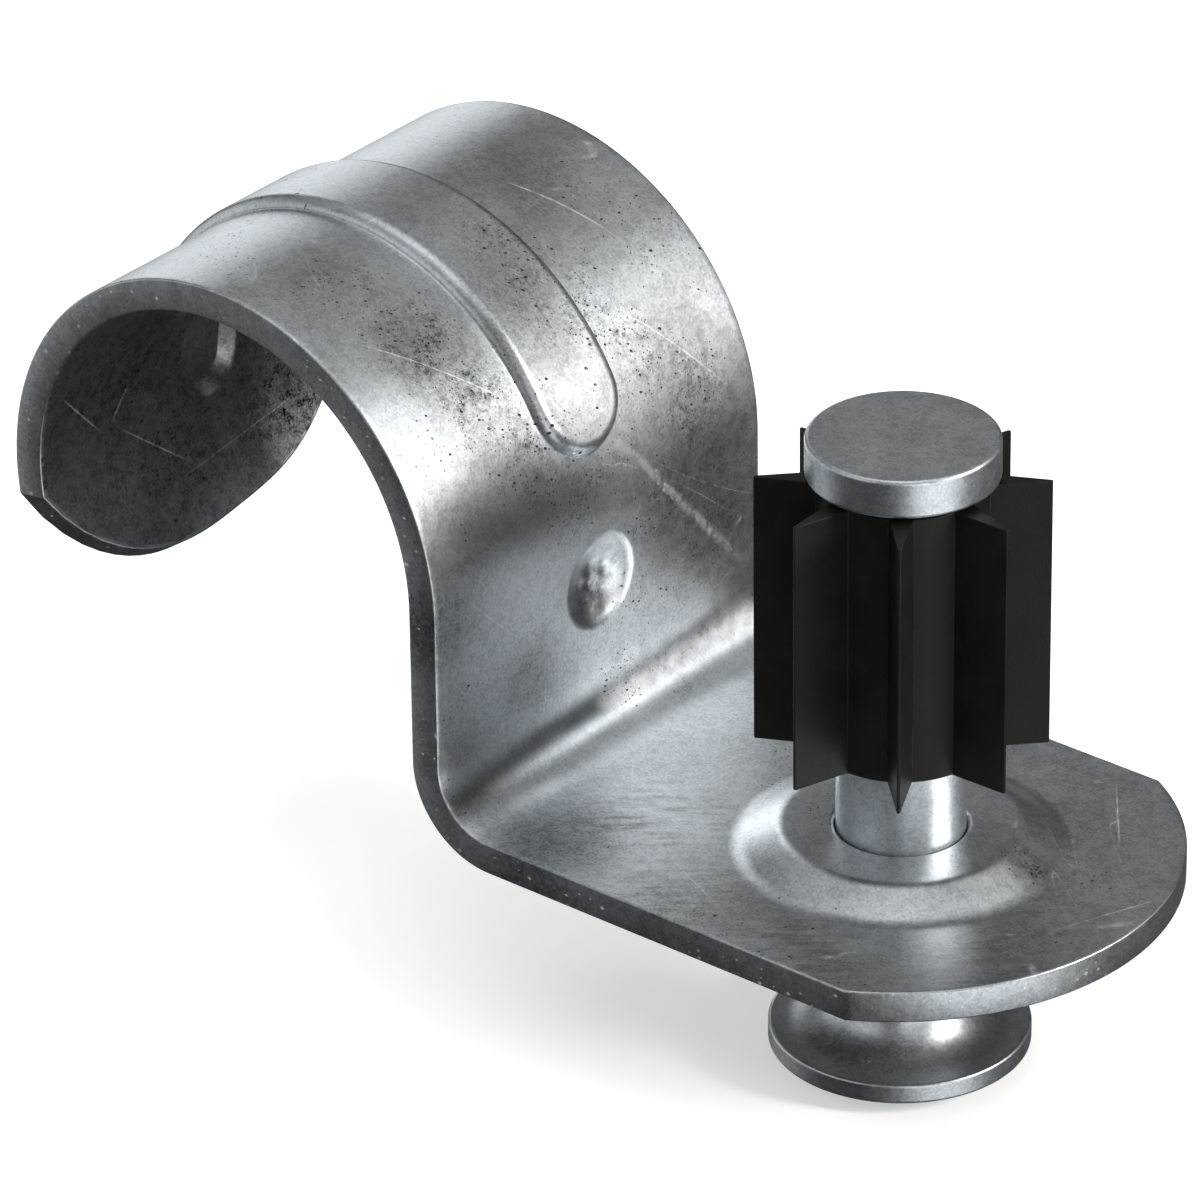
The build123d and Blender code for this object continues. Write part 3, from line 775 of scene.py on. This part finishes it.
def makeTent(rows=33, columns=64):
    # a shell that only reflections see: a sphere worked out from its two angles
    radius = studio["tentR"]
    turn, tilt = np.meshgrid(np.linspace(0, 2 * np.pi, columns, endpoint=False),
                             np.linspace(-np.pi / 2, np.pi / 2, rows))
    points = radius * np.stack([np.cos(tilt) * np.cos(turn), np.cos(tilt) * np.sin(turn), np.sin(tilt)], -1)
    mesh = bpy.data.meshes.new("lightTent")
    mesh.from_pydata(points.reshape(-1, 3).tolist(), [], gridFaces(rows, columns, 0, True).tolist())
    mesh.shade_smooth()
    tent = bpy.data.objects.new("lightTent", mesh)
    bpy.context.scene.collection.objects.link(tent)
    material, tree = newMaterial("tentLight")
    at = addNode(tree, "ShaderNodeSeparateXYZ", {}, {0: addNode(tree, "ShaderNodeTexCoord", out=3)})
    azimuth = at.other("Y").math("ARCTAN2", at) * (180 / np.pi)
    elevation = (at.other("Z") / radius).math("ARCSINE") * (180 / np.pi)
    light = addNode(tree, "ShaderNodeEmission", {}, {
        0: (*studio["tentColour"], 1), 1: softBoxes(tree, azimuth, elevation)})
    addNode(tree, "ShaderNodeOutputMaterial", {}, {0: light})
    material.cycles.emission_sampling = "NONE"
    mesh.materials.append(material)
    tent.visible_camera = tent.visible_diffuse = tent.visible_shadow = tent.visible_transmission = False


def makeFloor():
    # pale ground, with a glow of its own that only the camera sees
    size, low = studio["floorHalf"], studio["floorZ"] * mm
    corners = [(-size, -size, low), (size, -size, low), (size, size, low), (-size, size, low)]
    mesh = bpy.data.meshes.new("studioFloor")
    mesh.from_pydata(corners, [], [(0, 1, 2, 3)])
    floor = bpy.data.objects.new("studioFloor", mesh)
    bpy.context.scene.collection.objects.link(floor)
    material, tree = newMaterial("paleFloor")
    pale = addNode(tree, "ShaderNodeBsdfDiffuse", {}, {0: (*studio["floorColour"], 1)})
    glow = addNode(tree, "ShaderNodeEmission", {}, {0: (1, 1, 1, 1), 1: studio["floorGlow"]})
    both = addNode(tree, "ShaderNodeAddShader", {}, {0: pale, 1: glow})
    seen = addNode(tree, "ShaderNodeLightPath")
    shader = addNode(tree, "ShaderNodeMixShader", {}, {0: seen, 1: pale, 2: both})
    addNode(tree, "ShaderNodeOutputMaterial", {}, {0: shader})
    mesh.materials.append(material)
    floor.visible_glossy = False


def makeWorld():
    # full white in mirrored rays, weaker as fill light
    world = bpy.data.worlds.new("paleStudio")
    bpy.context.scene.world = world
    world.use_nodes = True
    world.cycles.sampling_method = "NONE"      # the tent stands before it in every reflection
    tree = world.node_tree
    tree.nodes.clear()
    seen = addNode(tree, "ShaderNodeLightPath")
    white = strongest([seen, seen.other("Is Glossy Ray"), seen.other("Is Transmission Ray")])
    strength = studio["fillLight"] + white * (1.0 - studio["fillLight"])
    background = addNode(tree, "ShaderNodeBackground", {}, {0: (1, 1, 1, 1), 1: strength})
    addNode(tree, "ShaderNodeOutputWorld", {}, {0: background})


def addLamp(name, azimuth, elevation, distance, wide, high, power, mirrored):
    # a soft lamp that looks at the object from two angles
    lamp = bpy.data.lights.new(name, "AREA")
    lamp.shape, lamp.size, lamp.size_y, lamp.energy = "RECTANGLE", wide, high, power
    lamp.color = studio["lampColour"]
    holder = bpy.data.objects.new(name, lamp)
    a, e = np.radians((azimuth, elevation))
    out = Vector((np.cos(a) * np.cos(e), np.sin(a) * np.cos(e), np.sin(e)))
    spot = Matrix.Translation(Vector(studio["lampAim"]) + out * distance)
    holder.matrix_world = spot @ out.to_track_quat("Z", "Y").to_matrix().to_4x4()
    holder.visible_glossy = mirrored
    bpy.context.scene.collection.objects.link(holder)


makeTent()
makeFloor()
makeWorld()
for name, values in studio["lamps"].items():
    addLamp(name, *values)
print("studio made")

view = {"azimuth": 39.5683, "elevation": 29.0390, "roll": -0.7289, "distance": 365.62,
        "aimRight": -12.4281, "aimUp": 11.2196, "lens": 265.37, "sensor": 36.0, "clip": (0.01, 10.0)}


def makeCamera():
    # the photo's own camera, which looks at the clip from two angles and is then shifted and rolled
    a, e, r = np.radians((view["azimuth"], view["elevation"], view["roll"]))
    back = np.array([np.sin(a) * np.cos(e), -np.cos(a) * np.cos(e), np.sin(e)])
    level = np.array([np.cos(a), np.sin(a), 0.0])
    raised = np.cross(back, level)
    right, up = np.cos(r) * level + np.sin(r) * raised, np.cos(r) * raised - np.sin(r) * level
    aim = np.array([z["pinX"], 0, -z["wallDrop"]])
    spot = aim + back * view["distance"] + right * view["aimRight"] + up * view["aimUp"]
    camera = bpy.data.cameras.new("photoView")
    camera.lens, camera.sensor_width = view["lens"], view["sensor"]
    camera.clip_start, camera.clip_end = view["clip"]
    holder = bpy.data.objects.new("photoView", camera)
    rows = np.column_stack([right, up, back, spot * mm])
    holder.matrix_world = Matrix((*rows.tolist(), (0, 0, 0, 1)))
    bpy.context.scene.collection.objects.link(holder)
    bpy.context.scene.camera = holder


makeCamera()
bpy.context.scene.view_settings.view_transform = "Standard"
